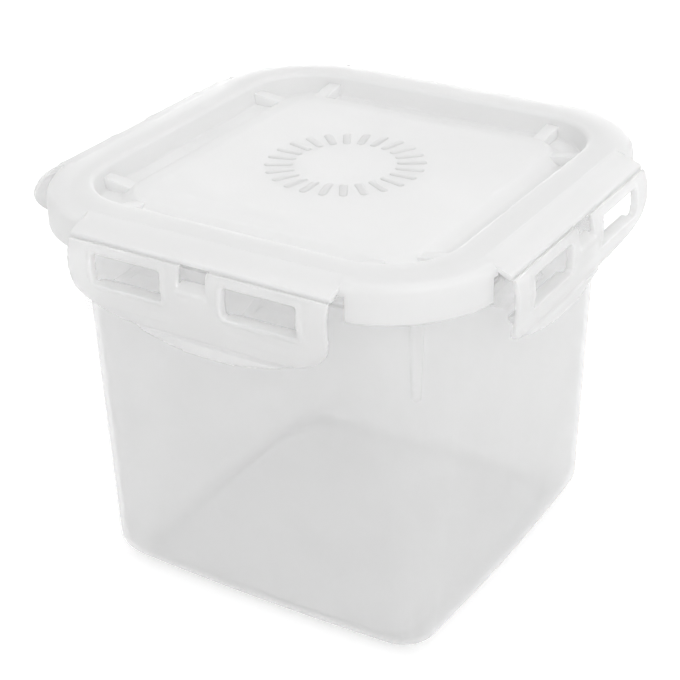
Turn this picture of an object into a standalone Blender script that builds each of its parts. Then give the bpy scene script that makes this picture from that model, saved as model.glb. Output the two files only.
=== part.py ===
"""Square food storage container with a snap lid, about 1.8 litres.

Metres, +Z up, the tub standing on z = 0. A "half" is the distance from the
middle of the object to a straight side. The front faces -Y.
"""
import math

import bmesh
import bpy
from mathutils import Matrix, Vector

# Fits that several pieces share
running_gap = 0.0003
lid_clearance = 0.0006
overrun = 0.0020
corner_segments = 6

# Tub
tub_rim_half = 0.0666
tub_rim_radius = 0.0271
tub_height = 0.1314
tub_draft = 0.0064
tub_base_radius = 0.0105
tub_foot_radius = 0.0170
taper_drop = 0.0094
bottom_curve = 0.0095
bottom_curve_steps = 5
wall = 0.0016
floor_thickness = 0.0020
foot_height = 0.0010
rim_lip_round = 0.0004
flange_reach = 0.0063
flange_drop = 0.0038
flange_edge = 0.0016
flange_rise = 0.0022

# Lock ledges, one on each side of the tub
ledge_proud = 0.0011
ledge_rise = 0.0081
ledge_slope = 0.0150
ledge_end_inset = 0.0062
ledge_wall = 0.0016

# Ribs on the four upright corners of the tub
rib_drop = 0.0369
rib_bottom_out = 0.0016
rib_top_out = 0.0026
rib_bottom_width = 0.0022
rib_top_width = 0.0044

# Lid
lid_wall = 0.0016
skirt_room = 0.0018
skirt_drop = 0.0036
bead_slope = 0.0050
bead_shoulder = 0.0022
bead_shoulder_shares = [(0.75, 0.25), (0.15, 1.0), (0.0, 1.8)]
bead_crown = 0.0004
bead_inner_slope = 0.0010
plug_wall = 0.0028
groove_wall = 0.0012
groove_depth = 0.0042
plug_depth = 0.0070
channel_depth = 0.0070
channel_width = 0.0076
panel_foot_slope = 0.0040
panel_edge_slope = 0.0070
panel_corner_radius = 0.0035
panel_edge_drop = 0.0038
panel_flat_drop = 0.0026

# Ribs across the lid's channel, two at each corner
bridge_inset = 0.0075
bridge_width = 0.0030
bridge_drop = 0.0016

# Plates that carry the hinges
plate_past_corner = 0.0049
plate_reach = 0.0037
plate_edge_drop = 0.0033
plate_thickness = 0.0014
plate_root = 0.0012
plate_lap = 0.0004
side_gap = 0.0016
side_opening_height = 0.0078

# Hinges and flaps
hinge_round = 0.00045
flap_end_gap = 0.0002
flap_thickness = 0.0014
flap_drop = 0.0305
flap_end_drop = 0.0115
flap_bulge = 0.0013
flap_tuck = 0.0054
flap_lip = 0.0036
flap_close_angle = math.radians(10)
flap_rest_angles = {"front": 0.0, "right": 0.0, "back": 0.0, "left": math.radians(42)}

# Windows, hooks and finger notch in each flap
window_inner = 0.0105
window_end_inset = 0.0090
window_top_drop = 0.0024
window_bottom_drop = 0.0120
window_radius = 0.0012
frame_width = 0.0015
frame_height = 0.0006
sill_depth = 0.0026
hook_lift_room = 0.00065
hook_drop = 0.0164
hook_tip = 0.0016
hook_root_drop = 0.0205
notch_half_width = 0.0048
notch_drop = 0.0062
notch_sill = 0.0014

# Seal ring
seal_width = 0.0026
seal_height = 0.0024
seal_round = 0.0006

# Shapes of the flap's section, as shares of its bulge, tuck, lip and drop
section_shares = [
    ("bulge", 0.0, 0.0), ("bulge", 0.32, 0.045), ("bulge", 0.72, 0.11), ("bulge", 1.0, 0.205),
    ("bulge", 0.94, 0.305), ("bulge", 0.55, 0.405), ("bulge", 0.10, 0.490), ("tuck", 0.17, 0.575),
    ("tuck", 0.39, 0.655), ("tuck", 0.62, 0.730), ("tuck", 0.83, 0.800), ("tuck", 0.97, 0.870),
    ("tuck", 1.0, 0.920), ("tuck", 0.90, 0.965), ("lip", 1.0, 1.0),
]

# Halves that follow from the sizes above, from the tub outwards
corner_centre = tub_rim_half - tub_rim_radius
tub_base_half = tub_rim_half - tub_draft
flange_half = tub_rim_half + flange_reach
ledge_half = flange_half + ledge_proud
skirt_inner_half = flange_half + skirt_room
bead_half = skirt_inner_half + lid_wall
bead_crest_half = bead_half - bead_slope
plug_half = tub_rim_half - wall - lid_clearance
groove_half = plug_half + running_gap + seal_width + running_gap
bead_inner_half = plug_half - plug_wall
panel_foot_half = bead_inner_half - channel_width
panel_edge_half = panel_foot_half - panel_foot_slope
panel_flat_half = panel_edge_half - panel_edge_slope
bridge_place = panel_edge_half - bridge_inset
plate_edge_half = bead_half + plate_reach
hinge_half = plate_edge_half + running_gap + hinge_round

# Lengths along a side, measured from its middle
plate_half_length = corner_centre + plate_past_corner
flap_half_length = plate_half_length - flap_end_gap
window_outer = flap_half_length - window_end_inset
ledge_foot_half_length = flap_half_length - ledge_end_inset
ledge_flat_half_length = ledge_foot_half_length - ledge_slope

# Heights that follow from the sizes above
taper_top = tub_height - taper_drop
flange_top = tub_height - flange_drop
skirt_bottom = flange_top - skirt_drop
rib_bottom = tub_height - rib_drop
bead_under = tub_height + running_gap + seal_height + running_gap
bead_top = bead_under + lid_wall
channel_floor = bead_top - channel_depth
panel_top = bead_top - panel_flat_drop
hinge_height = bead_top - plate_edge_drop - plate_thickness
hook_reach = hinge_half - ledge_half - hook_lift_room
closed_hook_drop = hook_drop * math.cos(flap_close_angle) - hook_reach * math.sin(flap_close_angle)
ledge_bottom = hinge_height - closed_hook_drop + running_gap
side_names = ["front", "right", "back", "left"]

# Frames for flat outlines: across a side (outward, up) and along a side (along, up)
ACROSS = Matrix(((0, 0, -1, 0), (-1, 0, 0, 0), (0, 1, 0, 0), (0, 0, 0, 1)))
ALONG = Matrix(((1, 0, 0, 0), (0, 0, -1, 0), (0, 1, 0, 0), (0, 0, 0, 1)))


def clear_scene():
    """Remove every object so that the script can be run again."""
    for item in list(bpy.data.objects):
        bpy.data.objects.remove(item, do_unlink=True)


def new_collection(name):
    """Make a collection under the scene."""
    group = bpy.data.collections.new(name)
    bpy.context.scene.collection.children.link(group)
    return group


def plastic(name, colour, roughness, alpha):
    """Make a Principled material."""
    material = bpy.data.materials.new(name)
    material.use_nodes = True
    shader = material.node_tree.nodes["Principled BSDF"]
    shader.inputs["Base Color"].default_value = (*colour, 1.0)
    shader.inputs["Roughness"].default_value = roughness
    shader.inputs["Alpha"].default_value = alpha
    return material


def mesh_object(name, bm, group, material=None):
    """Turn a bmesh into an object with outward faces."""
    bmesh.ops.recalc_face_normals(bm, faces=bm.faces)
    mesh = bpy.data.meshes.new(name)
    bm.to_mesh(mesh)
    bm.free()
    item = bpy.data.objects.new(name, mesh)
    group.objects.link(item)
    if material:
        mesh.materials.append(material)
    if group is cutters:
        item.hide_render = True
        item.display_type = "WIRE"
    return item


def rounded_square(half, radius, height):
    """Points of a square with rounded corners, anticlockwise from the right side."""
    points = []
    for quarter in range(4):
        turn = Matrix.Rotation(quarter * math.pi / 2, 3, "Z")
        for step in range(corner_segments + 1):
            angle = math.pi / 2 * step / corner_segments
            reach = half - radius
            corner = Vector((reach + radius * math.cos(angle), reach + radius * math.sin(angle), 0))
            points.append(turn @ corner + Vector((0, 0, height)))
    return points


def loft(name, sections, group, material=None, ring=False):
    """Skin a body over rounded squares of unlike radius, capped or closed on itself."""
    bm = bmesh.new()
    loops = [[bm.verts.new(point) for point in rounded_square(*section)] for section in sections]
    pairs = list(zip(loops[:-1], loops[1:]))
    if ring:
        pairs.append((loops[-1], loops[0]))
    else:
        bm.faces.new(loops[0])
        bm.faces.new(loops[-1])
    for low, high in pairs:
        for index in range(len(low)):
            after = (index + 1) % len(low)
            bm.faces.new((low[index], low[after], high[after], high[index]))
    return mesh_object(name, bm, group, material)


def rim_sections(profile):
    """Give each (half, height) of the rim its corner radius about the shared centres."""
    return [(half, half - corner_centre, height) for half, height in profile]


def prism(name, outline, thickness, place, group):
    """A flat outline extruded to a thickness, as a mesh."""
    curve = bpy.data.curves.new(name, "CURVE")
    curve.dimensions = "2D"
    curve.fill_mode = "BOTH"
    curve.extrude = thickness / 2
    spline = curve.splines.new("POLY")
    spline.points.add(len(outline) - 1)
    for point, (across, up) in zip(spline.points, outline):
        point.co = (across, up, 0, 1)
    spline.use_cyclic_u = True
    drawn = bpy.data.objects.new(name, curve)
    bpy.context.scene.collection.objects.link(drawn)
    solid = drawn.evaluated_get(bpy.context.evaluated_depsgraph_get())
    bm = bmesh.new()
    bm.from_mesh(bpy.data.meshes.new_from_object(solid))
    bpy.data.objects.remove(drawn)
    bmesh.ops.remove_doubles(bm, verts=bm.verts, dist=running_gap / 100)
    bmesh.ops.transform(bm, matrix=place, verts=bm.verts)
    return mesh_object(name, bm, group)


def moved(matrix, outward=0.0, along=0.0, up=0.0):
    """Shift a frame from the middle of the object to a place on its front."""
    return Matrix.Translation((along, -outward, up)) @ matrix


def on_four_sides(item):
    """Join an item with its copies on the other three sides."""
    bm = bmesh.new()
    for quarter in range(4):
        copy = item.data.copy()
        copy.transform(Matrix.Rotation(quarter * math.pi / 2, 4, "Z"))
        bm.from_mesh(copy)
    bm.to_mesh(item.data)
    bm.free()
    return item


def join(items):
    """Join items that don't touch each other into the first one."""
    bm = bmesh.new()
    for item in items:
        bm.from_mesh(item.data)
    bm.to_mesh(items[0].data)
    bm.free()
    return items[0]


def combine(body, tool, operation):
    """Add a live Boolean to a body."""
    modifier = body.modifiers.new(operation.title() + " " + tool.name, "BOOLEAN")
    modifier.operation = operation
    modifier.object = tool
    modifier.solver = "EXACT"


def baked(item):
    """Apply the modifiers of an item to its mesh."""
    solid = item.evaluated_get(bpy.context.evaluated_depsgraph_get())
    mesh = bpy.data.meshes.new_from_object(solid)
    item.modifiers.clear()
    item.data = mesh
    return item


def tub_profile():
    """Sections of the tub, from under its foot, up outside, over the rim and down inside."""
    foot_half = tub_base_half - bottom_curve
    sections = [(foot_half, tub_foot_radius, 0)]
    for step in range(bottom_curve_steps + 1):
        angle = math.pi / 2 * step / bottom_curve_steps
        half = foot_half + bottom_curve * math.sin(angle)
        radius = tub_foot_radius + (tub_base_radius - tub_foot_radius) * math.sin(angle)
        sections.append((half, radius, foot_height + (bottom_curve - foot_height) * (1 - math.cos(angle))))
    inner = tub_rim_half - wall
    sections += rim_sections([
        (tub_rim_half, taper_top),
        (tub_rim_half, flange_top - flange_edge - flange_rise),
        (flange_half - rim_lip_round, flange_top - flange_edge),
        (flange_half, flange_top - flange_edge + rim_lip_round),
        (flange_half, flange_top - rim_lip_round),
        (flange_half - rim_lip_round, flange_top),
        (tub_rim_half + rim_lip_round, flange_top),
        (tub_rim_half, flange_top + rim_lip_round),
        (tub_rim_half, tub_height - rim_lip_round),
        (tub_rim_half - rim_lip_round, tub_height),
        (inner + rim_lip_round, tub_height),
        (inner, tub_height - rim_lip_round),
        (inner, taper_top),
    ])
    inside_curve = bottom_curve - wall
    inside_radius = tub_base_radius - wall
    for step in range(bottom_curve_steps, -1, -1):
        angle = math.pi / 2 * step / bottom_curve_steps
        half = foot_half + inside_curve * math.sin(angle)
        radius = tub_foot_radius + (inside_radius - tub_foot_radius) * math.sin(angle)
        sections.append((half, radius, floor_thickness + inside_curve * (1 - math.cos(angle))))
    return sections


def ledge_outline(inset):
    """Front view of a lock ledge, open below where it is drawn in by a wall."""
    foot = ledge_foot_half_length - inset * 3
    flat = ledge_flat_half_length - inset / 2
    low = ledge_bottom - (overrun if inset else 0)
    high = ledge_bottom + ledge_rise - inset
    return [(-foot, low), (foot, low), (foot, ledge_bottom), (flat, high), (-flat, high),
            (-foot, ledge_bottom)]


def lock_ledges():
    """The four ledges that the flaps hook under, and the hollows below them."""
    root = tub_rim_half - wall / 2
    depth = ledge_half - root
    outline = ledge_outline(0)
    outline = outline[:2] + outline[3:5]
    outer = prism("lock_ledges", outline, depth, moved(ALONG, outward=root + depth / 2), cutters)
    hollow_root = tub_rim_half + running_gap
    hollow_depth = ledge_half - ledge_wall - hollow_root
    place = moved(ALONG, outward=hollow_root + hollow_depth / 2)
    inner = prism("ledge_hollows", ledge_outline(ledge_wall), hollow_depth, place, cutters)
    return on_four_sides(outer), on_four_sides(inner)


def wall_at(height):
    """Half width and corner radius of the tub's outside at a height on its taper."""
    share = (height - bottom_curve) / (taper_top - bottom_curve)
    half = tub_base_half + (tub_rim_half - tub_base_half) * share
    rim_radius = tub_rim_half - corner_centre
    return half, tub_base_radius + (rim_radius - tub_base_radius) * share


def corner_reach(height):
    """Distance along the diagonal from the middle to the tub's rounded corner."""
    half, radius = wall_at(height)
    return (half - radius) * math.sqrt(2) + radius


def corner_ribs():
    """Tapered ribs on the upright corners, from under the flange down."""
    top = flange_top - flange_edge - flange_rise / 2
    bm = bmesh.new()
    bmesh.ops.create_cube(bm, size=1.0)
    for vertex in bm.verts:
        high = vertex.co.z > 0
        height = top if high else rib_bottom
        width = rib_top_width if high else rib_bottom_width
        out = rib_top_out if high else rib_bottom_out
        start = corner_reach(min(height, taper_top))
        depth = out if vertex.co.x > 0 else -wall / 2
        vertex.co = Vector((start + depth, width * vertex.co.y, height))
    bmesh.ops.rotate(bm, verts=bm.verts, matrix=Matrix.Rotation(-math.pi / 4, 3, "Z"))
    return on_four_sides(mesh_object("corner_ribs", bm, cutters))


def build_tub(group, material):
    """The tub with its flange, lock ledges and corner ribs."""
    tub = loft("tub", tub_profile(), group, material)
    ledges, hollows = lock_ledges()
    combine(tub, ledges, "UNION")
    combine(tub, hollows, "DIFFERENCE")
    combine(tub, corner_ribs(), "UNION")
    return tub


def lid_profile():
    """Sections of the lid, from the middle of its top outwards and back underneath."""
    panel_edge = bead_top - panel_edge_drop
    profile = [
        (panel_flat_half, panel_top),
        (panel_edge_half, panel_edge),
        (panel_foot_half, channel_floor),
        (bead_inner_half - bead_inner_slope, channel_floor),
        (bead_inner_half, bead_top - bead_inner_slope),
        (bead_inner_half + bead_inner_slope, bead_top),
        ((bead_inner_half + bead_crest_half) / 2, bead_top + bead_crown),
        (bead_crest_half, bead_top),
        *[(bead_half - bead_shoulder * back, bead_top - bead_shoulder * down)
          for back, down in bead_shoulder_shares],
        (bead_half, skirt_bottom),
        (skirt_inner_half, skirt_bottom),
        (skirt_inner_half, bead_under - bead_shoulder / 2),
        (skirt_inner_half - bead_shoulder / 2, bead_under),
        (groove_half + groove_wall, bead_under),
        (groove_half + groove_wall, bead_under - groove_depth),
        (groove_half, bead_under - groove_depth),
        (groove_half, bead_under),
        (plug_half, bead_under),
        (plug_half, bead_under - plug_depth),
        (panel_foot_half - lid_wall / 2, bead_under - plug_depth),
        (panel_edge_half - lid_wall / 2, panel_edge - lid_wall),
        (panel_flat_half, panel_top - lid_wall),
    ]
    return [(half, max(half - corner_centre, panel_corner_radius), height) for half, height in profile]


def side_openings():
    """Blocks that open the skirt under each plate, wider than the plate."""
    length = 2 * (plate_half_length + side_gap)
    inner = groove_half + groove_wall + running_gap
    outer = bead_half + overrun
    low = skirt_bottom - overrun
    high = skirt_bottom + side_opening_height
    outline = [(inner, low), (outer, low), (outer, high), (inner, high)]
    return on_four_sides(prism("side_openings", outline, length, ACROSS, cutters))


def bead_trims():
    """Blocks that clear the bead's shoulder where a plate takes its place."""
    inner = bead_crest_half
    outer = bead_half + overrun
    outline = [(inner, skirt_bottom), (outer, skirt_bottom), (outer, bead_top + overrun),
               (inner, bead_top + overrun)]
    length = 2 * (plate_half_length - plate_lap)
    return on_four_sides(prism("bead_trims", outline, length, ACROSS, cutters))


def hinge_plates():
    """Sloped plates from the bead out to the hinge lines."""
    edge = bead_top - plate_edge_drop
    root = bead_crest_half - plate_root
    outline = [(root, bead_top), (bead_crest_half, bead_top), (plate_edge_half, edge),
               (plate_edge_half, edge - plate_thickness),
               (plate_edge_half - plate_thickness, edge - plate_thickness),
               (skirt_inner_half, bead_under - plate_thickness / 2),
               (root, bead_under - plate_thickness / 2)]
    return on_four_sides(prism("hinge_plates", outline, 2 * plate_half_length, ACROSS, cutters))


def channel_bridges():
    """Short ribs across the channel, one at each end of every straight side."""
    top = bead_top - bridge_drop
    outline = [(panel_foot_half, channel_floor - lid_wall / 2),
               (bead_inner_half + bead_inner_slope, channel_floor - lid_wall / 2),
               (bead_inner_half + bead_inner_slope, top),
               (panel_edge_half - lid_wall / 2, bead_top - panel_edge_drop - running_gap)]
    places = (-bridge_place, bridge_place)
    pair = [prism("channel_bridges", outline, bridge_width, moved(ACROSS, along=place), cutters)
            for place in places]
    return on_four_sides(join(pair))


def build_lid(group, material):
    """The lid with its raised panel, channel, seal groove, skirts and plates."""
    lid = loft("lid", lid_profile(), group, material)
    combine(lid, side_openings(), "DIFFERENCE")
    combine(lid, bead_trims(), "DIFFERENCE")
    combine(lid, hinge_plates(), "UNION")
    combine(lid, channel_bridges(), "UNION")
    return lid


def build_seal(group, material):
    """The soft ring in the lid's groove, above the tub's rim."""
    inner = plug_half + running_gap
    outer = inner + seal_width
    low = tub_height + running_gap
    high = low + seal_height
    profile = [(inner, low + seal_round), (inner + seal_round, low), (outer - seal_round, low),
               (outer, low + seal_round), (outer, high - seal_round), (outer - seal_round, high),
               (inner + seal_round, high), (inner, high - seal_round)]
    return loft("seal_ring", rim_sections(profile), group, material, ring=True)


def flap_middle_line():
    """Points (outward, down) of the flap's section, from the hinge to the lip."""
    reach = {"bulge": flap_bulge, "tuck": -flap_tuck, "lip": -flap_lip}
    return [(reach[kind] * across, -flap_drop * down) for kind, across, down in section_shares]


def offset_outline(line, thickness, first_thickness):
    """Close a line into a strip of even thickness that narrows to its first point."""
    left, right = [], []
    for index, (across, up) in enumerate(line):
        before = line[max(index - 1, 0)]
        after = line[min(index + 1, len(line) - 1)]
        along = Vector((after[0] - before[0], after[1] - before[1])).normalized()
        half = (first_thickness if index == 0 else thickness) / 2
        left.append((across - along.y * half, up + along.x * half))
        right.append((across + along.y * half, up - along.x * half))
    return left + right[::-1]


def flap_outline(inset=0.0, steps=20):
    """Front view of a flap: square at the hinge, with an elliptic lower edge."""
    points = [(-flap_half_length + inset, overrun), (-flap_half_length + inset, -flap_end_drop)]
    for step in range(1, steps):
        angle = math.pi * step / steps
        points.append((-(flap_half_length - inset) * math.cos(angle),
                       -flap_end_drop - (flap_drop + inset) * math.sin(angle)
                       + flap_end_drop * math.sin(angle)))
    points += [(flap_half_length - inset, -flap_end_drop), (flap_half_length - inset, overrun)]
    return points


def window_outline(side, grow, steps=3):
    """A rounded window, side -1 or 1, grown by a border."""
    left, right = sorted((side * window_inner, side * window_outer))
    low, high = -window_bottom_drop - grow, -window_top_drop + grow
    left, right = left - grow, right + grow
    radius = window_radius + grow
    corners = [(right - radius, high - radius, 0), (left + radius, high - radius, 1),
               (left + radius, low + radius, 2), (right - radius, low + radius, 3)]
    points = []
    for across, up, quarter in corners:
        for step in range(steps + 1):
            angle = math.pi / 2 * (quarter + step / steps)
            points.append((across + radius * math.cos(angle), up + radius * math.sin(angle)))
    return points


def hook_shelf():
    """Inner end of a hook's top, level under the ledge once the flap is closed."""
    out = ledge_half + running_gap - hinge_half
    down = closed_hook_drop
    return (out * math.cos(flap_close_angle) + down * math.sin(flap_close_angle),
            out * math.sin(flap_close_angle) - down * math.cos(flap_close_angle))


def hook_outline():
    """Section of a window sill that runs down into a hook."""
    return [(flap_bulge / 2, -window_bottom_drop), (-sill_depth, -window_bottom_drop), hook_shelf(),
            (-hook_reach, -hook_drop), (-hook_reach, -hook_drop - hook_tip),
            (-flap_thickness, -hook_root_drop), (flap_bulge / 3, -hook_drop)]


def build_flap():
    """One flap about its own hinge line, with windows, frames, hooks and notch."""
    line = flap_middle_line()
    length = 2 * flap_half_length
    strip = offset_outline(line, flap_thickness, 2 * hinge_round)
    flap = prism("flap", strip, length, ACROSS, cutters)
    depth = 2 * (flap_tuck + flap_bulge) + 2 * hook_reach
    combine(flap, prism("flap_edge", flap_outline(), depth, ALONG, cutters), "INTERSECT")
    thick = offset_outline(line[1:-3], flap_thickness + 2 * frame_height, flap_thickness)
    frames = prism("window_frames", thick, length - 2 * running_gap, ACROSS, cutters)
    borders = [prism("frame_borders", window_outline(side, frame_width), depth, ALONG, cutters)
               for side in (-1, 1)]
    combine(frames, join(borders), "INTERSECT")
    combine(flap, frames, "UNION")
    windows = [prism("windows", window_outline(side, 0.0), depth, ALONG, cutters) for side in (-1, 1)]
    combine(flap, join(windows), "DIFFERENCE")
    middle = (window_inner + window_outer) / 2
    width = window_outer - window_inner
    hooks = [prism("hooks", hook_outline(), width, moved(ACROSS, along=side * middle), cutters)
             for side in (-1, 1)]
    combine(flap, join(hooks), "UNION")
    notch = [(-notch_half_width, -notch_drop), (notch_half_width, -notch_drop),
             (notch_half_width, overrun), (-notch_half_width, overrun)]
    combine(flap, prism("finger_notch", notch, depth, ALONG, cutters), "DIFFERENCE")
    sill = [(flap_bulge, -notch_drop), (-notch_sill, -notch_drop),
            (-notch_sill, -notch_drop - flap_thickness), (flap_bulge, -notch_drop - 2 * flap_thickness)]
    combine(flap, prism("notch_sill", sill, 2 * notch_half_width, ACROSS, cutters), "UNION")
    return baked(flap)


def place_flaps(group, material):
    """Hang a copy of the flap on each side of the lid."""
    pattern = build_flap()
    pattern.data.materials.clear()
    pattern.data.materials.append(material)
    for quarter, side in enumerate(side_names):
        turn = Matrix.Rotation(quarter * math.pi / 2, 4, "Z")
        swing = Matrix.Rotation(-flap_rest_angles[side], 4, "X")
        flap = bpy.data.objects.new("flap_" + side, pattern.data)
        group.objects.link(flap)
        flap.matrix_world = turn @ Matrix.Translation((0, -hinge_half, hinge_height)) @ swing
    bpy.data.objects.remove(pattern)


clear_scene()
container = new_collection("food_storage_container")
cutters = new_collection("cutters")
cutters.hide_render = True

clear_plastic = plastic("clear_polypropylene", (0.86, 0.86, 0.86), 0.35, 0.55)
lid_plastic = plastic("white_polypropylene", (0.90, 0.90, 0.90), 0.32, 0.80)
seal_rubber = plastic("clear_silicone", (0.88, 0.88, 0.87), 0.45, 0.75)

build_tub(container, clear_plastic)
build_lid(container, lid_plastic)
build_seal(container, seal_rubber)
place_flaps(container, lid_plastic)
print("ledge bottom", round(ledge_bottom, 5), "hinge", round(hinge_half, 5), round(hinge_height, 5))
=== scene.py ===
# %% [markdown]
# # A square food container with a snap lid
# The real object is thin, cloudy polypropylene in three mouldings: a tapered
# tub, a milky lid with four hinged flaps, and a soft ring in the lid's groove.
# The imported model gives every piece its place. Each visible piece is built again
# here with soft edges and true wall thickness, because rounded edges and light
# passing through thin walls are what make plastic look like plastic.

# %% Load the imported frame
import math

import bmesh
import bpy
from mathutils import Matrix, Vector


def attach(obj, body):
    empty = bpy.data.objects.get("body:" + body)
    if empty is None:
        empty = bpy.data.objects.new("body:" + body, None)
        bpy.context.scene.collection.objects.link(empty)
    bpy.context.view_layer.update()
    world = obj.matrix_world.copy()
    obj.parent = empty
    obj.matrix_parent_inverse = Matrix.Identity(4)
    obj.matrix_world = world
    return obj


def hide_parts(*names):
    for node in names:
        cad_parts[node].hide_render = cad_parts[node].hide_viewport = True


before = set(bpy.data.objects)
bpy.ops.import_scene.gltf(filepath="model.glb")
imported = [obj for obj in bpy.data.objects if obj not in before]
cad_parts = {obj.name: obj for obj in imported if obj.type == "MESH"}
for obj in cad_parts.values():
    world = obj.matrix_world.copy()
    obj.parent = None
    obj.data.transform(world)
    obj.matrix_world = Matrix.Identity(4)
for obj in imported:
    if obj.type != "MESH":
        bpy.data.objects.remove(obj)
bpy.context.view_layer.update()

# %% [markdown]
# ## Camera
# The photograph was taken from 32.5 degrees round from the front, towards the
# right side, and from 28.4 degrees above. A long lens 0.6 m away gives the same
# gentle perspective. The camera's matrix is written from its three axes, which is
# exact, where a Track To constraint would lose the small roll.

# %% Camera
camera_azimuth = math.radians(32.495)
camera_elevation = math.radians(28.369)
camera_roll = math.radians(-1.5765)
camera_place = Vector((0.265123, -0.422116, 0.340220))
camera_lens_mm = 91.27


def camera_matrix():
    """Place and axes of the camera, its third axis pointing back from the object."""
    level = math.cos(camera_elevation)
    back = Vector((math.sin(camera_azimuth) * level, -math.cos(camera_azimuth) * level,
                   math.sin(camera_elevation)))
    right = Vector((math.cos(camera_azimuth), math.sin(camera_azimuth), 0))
    up = back.cross(right)
    turn, lean = math.cos(camera_roll), math.sin(camera_roll)
    axes = (turn * right + lean * up, turn * up - lean * right, back)
    matrix = Matrix((axes[0], axes[1], axes[2])).transposed().to_4x4()
    matrix.translation = camera_place
    return matrix


camera = bpy.data.objects.new("camera", bpy.data.cameras.new("camera"))
bpy.context.scene.collection.objects.link(camera)
camera.data.lens = camera_lens_mm
camera.data.clip_start = 0.01
camera.data.clip_end = 20
camera.matrix_world = camera_matrix()
bpy.context.scene.camera = camera
print("camera", round(camera_place.length, 3), "m from the middle of the base")

# %% [markdown]
# ## Cloudy plastic
# Polypropylene is never quite even. The melt leaves faint clouds in the colour,
# the mould's surface gives a fine grain, and the gloss changes a little from
# place to place. Three noises on Object coordinates make these, so that nothing
# slides when the object moves. Alpha lets some light and the far walls through,
# which costs far less than refraction and looks alike in a wall this thin. Light
# also spreads a little inside the plastic, so that thin edges don't turn dark.

# %% Plastic materials
plastic_ior = 1.49
light_spread = 0.002
cloud_scale = 38
gloss_scale = 90
grain_scale = 1400


def link(tree, source, output, target, socket):
    """Join two nodes of a tree."""
    tree.links.new(source.outputs[output], target.inputs[socket])


def noise_range(tree, coords, scale, low, high, detail=3.0):
    """A noise brought to a range of values."""
    noise = tree.nodes.new("ShaderNodeTexNoise")
    noise.inputs["Scale"].default_value = scale
    noise.inputs["Detail"].default_value = detail
    link(tree, coords, "Object", noise, "Vector")
    span = tree.nodes.new("ShaderNodeMapRange")
    span.inputs["From Min"].default_value = 0.3
    span.inputs["From Max"].default_value = 0.7
    span.inputs["To Min"].default_value = low
    span.inputs["To Max"].default_value = high
    link(tree, noise, 0, span, "Value")
    return span


def cloudy_plastic(name, light, dark, roughness, alpha, grain):
    """Polypropylene with faint clouds, uneven gloss and the mould's fine grain."""
    material = bpy.data.materials.new(name)
    material.use_nodes = True
    tree = material.node_tree
    shader = tree.nodes["Principled BSDF"]
    shader.inputs["IOR"].default_value = plastic_ior
    shader.inputs["Alpha"].default_value = alpha
    shader.inputs["Subsurface Weight"].default_value = 1.0
    shader.inputs["Subsurface Radius"].default_value = (1.0, 1.0, 1.0)
    shader.inputs["Subsurface Scale"].default_value = light_spread
    coords = tree.nodes.new("ShaderNodeTexCoord")
    clouds = noise_range(tree, coords, cloud_scale, 0.0, 1.0)
    colour = tree.nodes.new("ShaderNodeMix")
    colour.data_type = "RGBA"
    colour.inputs["A"].default_value = (*dark, 1)
    colour.inputs["B"].default_value = (*light, 1)
    link(tree, clouds, "Result", colour, "Factor")
    link(tree, colour, "Result", shader, "Base Color")
    gloss = noise_range(tree, coords, gloss_scale, roughness - 0.04, roughness + 0.05)
    link(tree, gloss, "Result", shader, "Roughness")
    fine = noise_range(tree, coords, grain_scale, 0.0, 1.0, detail=2.0)
    bump = tree.nodes.new("ShaderNodeBump")
    bump.inputs["Strength"].default_value = 0.25
    bump.inputs["Distance"].default_value = grain
    link(tree, fine, "Result", bump, "Height")
    link(tree, bump, "Normal", shader, "Normal")
    return material


tub_plastic = cloudy_plastic("cloudy_tub", (0.79, 0.79, 0.79), (0.76, 0.76, 0.76),
                             roughness=0.34, alpha=0.27, grain=0.00004)
# The ledges' plastic is coloured lighter than the tub's: painted light against the shade behind the
# flap windows and on the ribs.
lightened_ledge_plastic = cloudy_plastic("lightened_ledge", (0.97, 0.97, 0.97), (0.96, 0.96, 0.96),
                               roughness=0.34, alpha=0.09, grain=0.00004)
lid_plastic = cloudy_plastic("milky_lid", (0.95, 0.95, 0.95), (0.93, 0.93, 0.93),
                             roughness=0.325, alpha=0.75, grain=0.00004)
flap_plastic = cloudy_plastic("milky_flap", (0.97, 0.97, 0.97), (0.96, 0.96, 0.96),
                              roughness=0.35, alpha=0.59, grain=0.00004)
seal_rubber = cloudy_plastic("milky_silicone", (0.88, 0.88, 0.87), (0.85, 0.85, 0.84),
                             roughness=0.46, alpha=0.75, grain=0.00003)
finishes = (tub_plastic, lightened_ledge_plastic, lid_plastic, flap_plastic, seal_rubber)
print("materials:", [finish.name for finish in finishes])

# %% [markdown]
# ## Nodes that build a rounded square
# The tub, the lid and the ring all follow one rule: every level is a square with
# rounded corners. A point of such a square is its corner's centre pushed out
# along a normal, so one small node tree can shape all three. The mesh only
# carries the numbers of each level, and the tree does the geometry. The sides of
# a thin tub also swell a little between the corners, which is one more input.

# %% The rounded square tree
def node(tree, kind, **settings):
    """Add a node to a tree and set its options."""
    made = tree.nodes.new(kind)
    for key, value in settings.items():
        setattr(made, key, value)
    return made


def named(tree, name, kind):
    """Read an attribute of the mesh."""
    made = node(tree, "GeometryNodeInputNamedAttribute", data_type=kind)
    made.inputs["Name"].default_value = name
    return made.outputs["Attribute"]


def math_node(tree, operation, first, second):
    """Work out one number from two."""
    made = node(tree, "ShaderNodeMath", operation=operation)
    for socket, value in zip(made.inputs, (first, second)):
        tree.links.new(value, socket)
    return made.outputs[0]


def scaled(tree, vector, scale):
    """Scale a vector."""
    made = node(tree, "ShaderNodeVectorMath", operation="SCALE")
    tree.links.new(vector, made.inputs[0])
    tree.links.new(scale, made.inputs["Scale"])
    return made.outputs[0]


def summed(tree, first, second):
    """Add two vectors."""
    made = node(tree, "ShaderNodeVectorMath", operation="ADD")
    tree.links.new(first, made.inputs[0])
    tree.links.new(second, made.inputs[1])
    return made.outputs[0]


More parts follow.
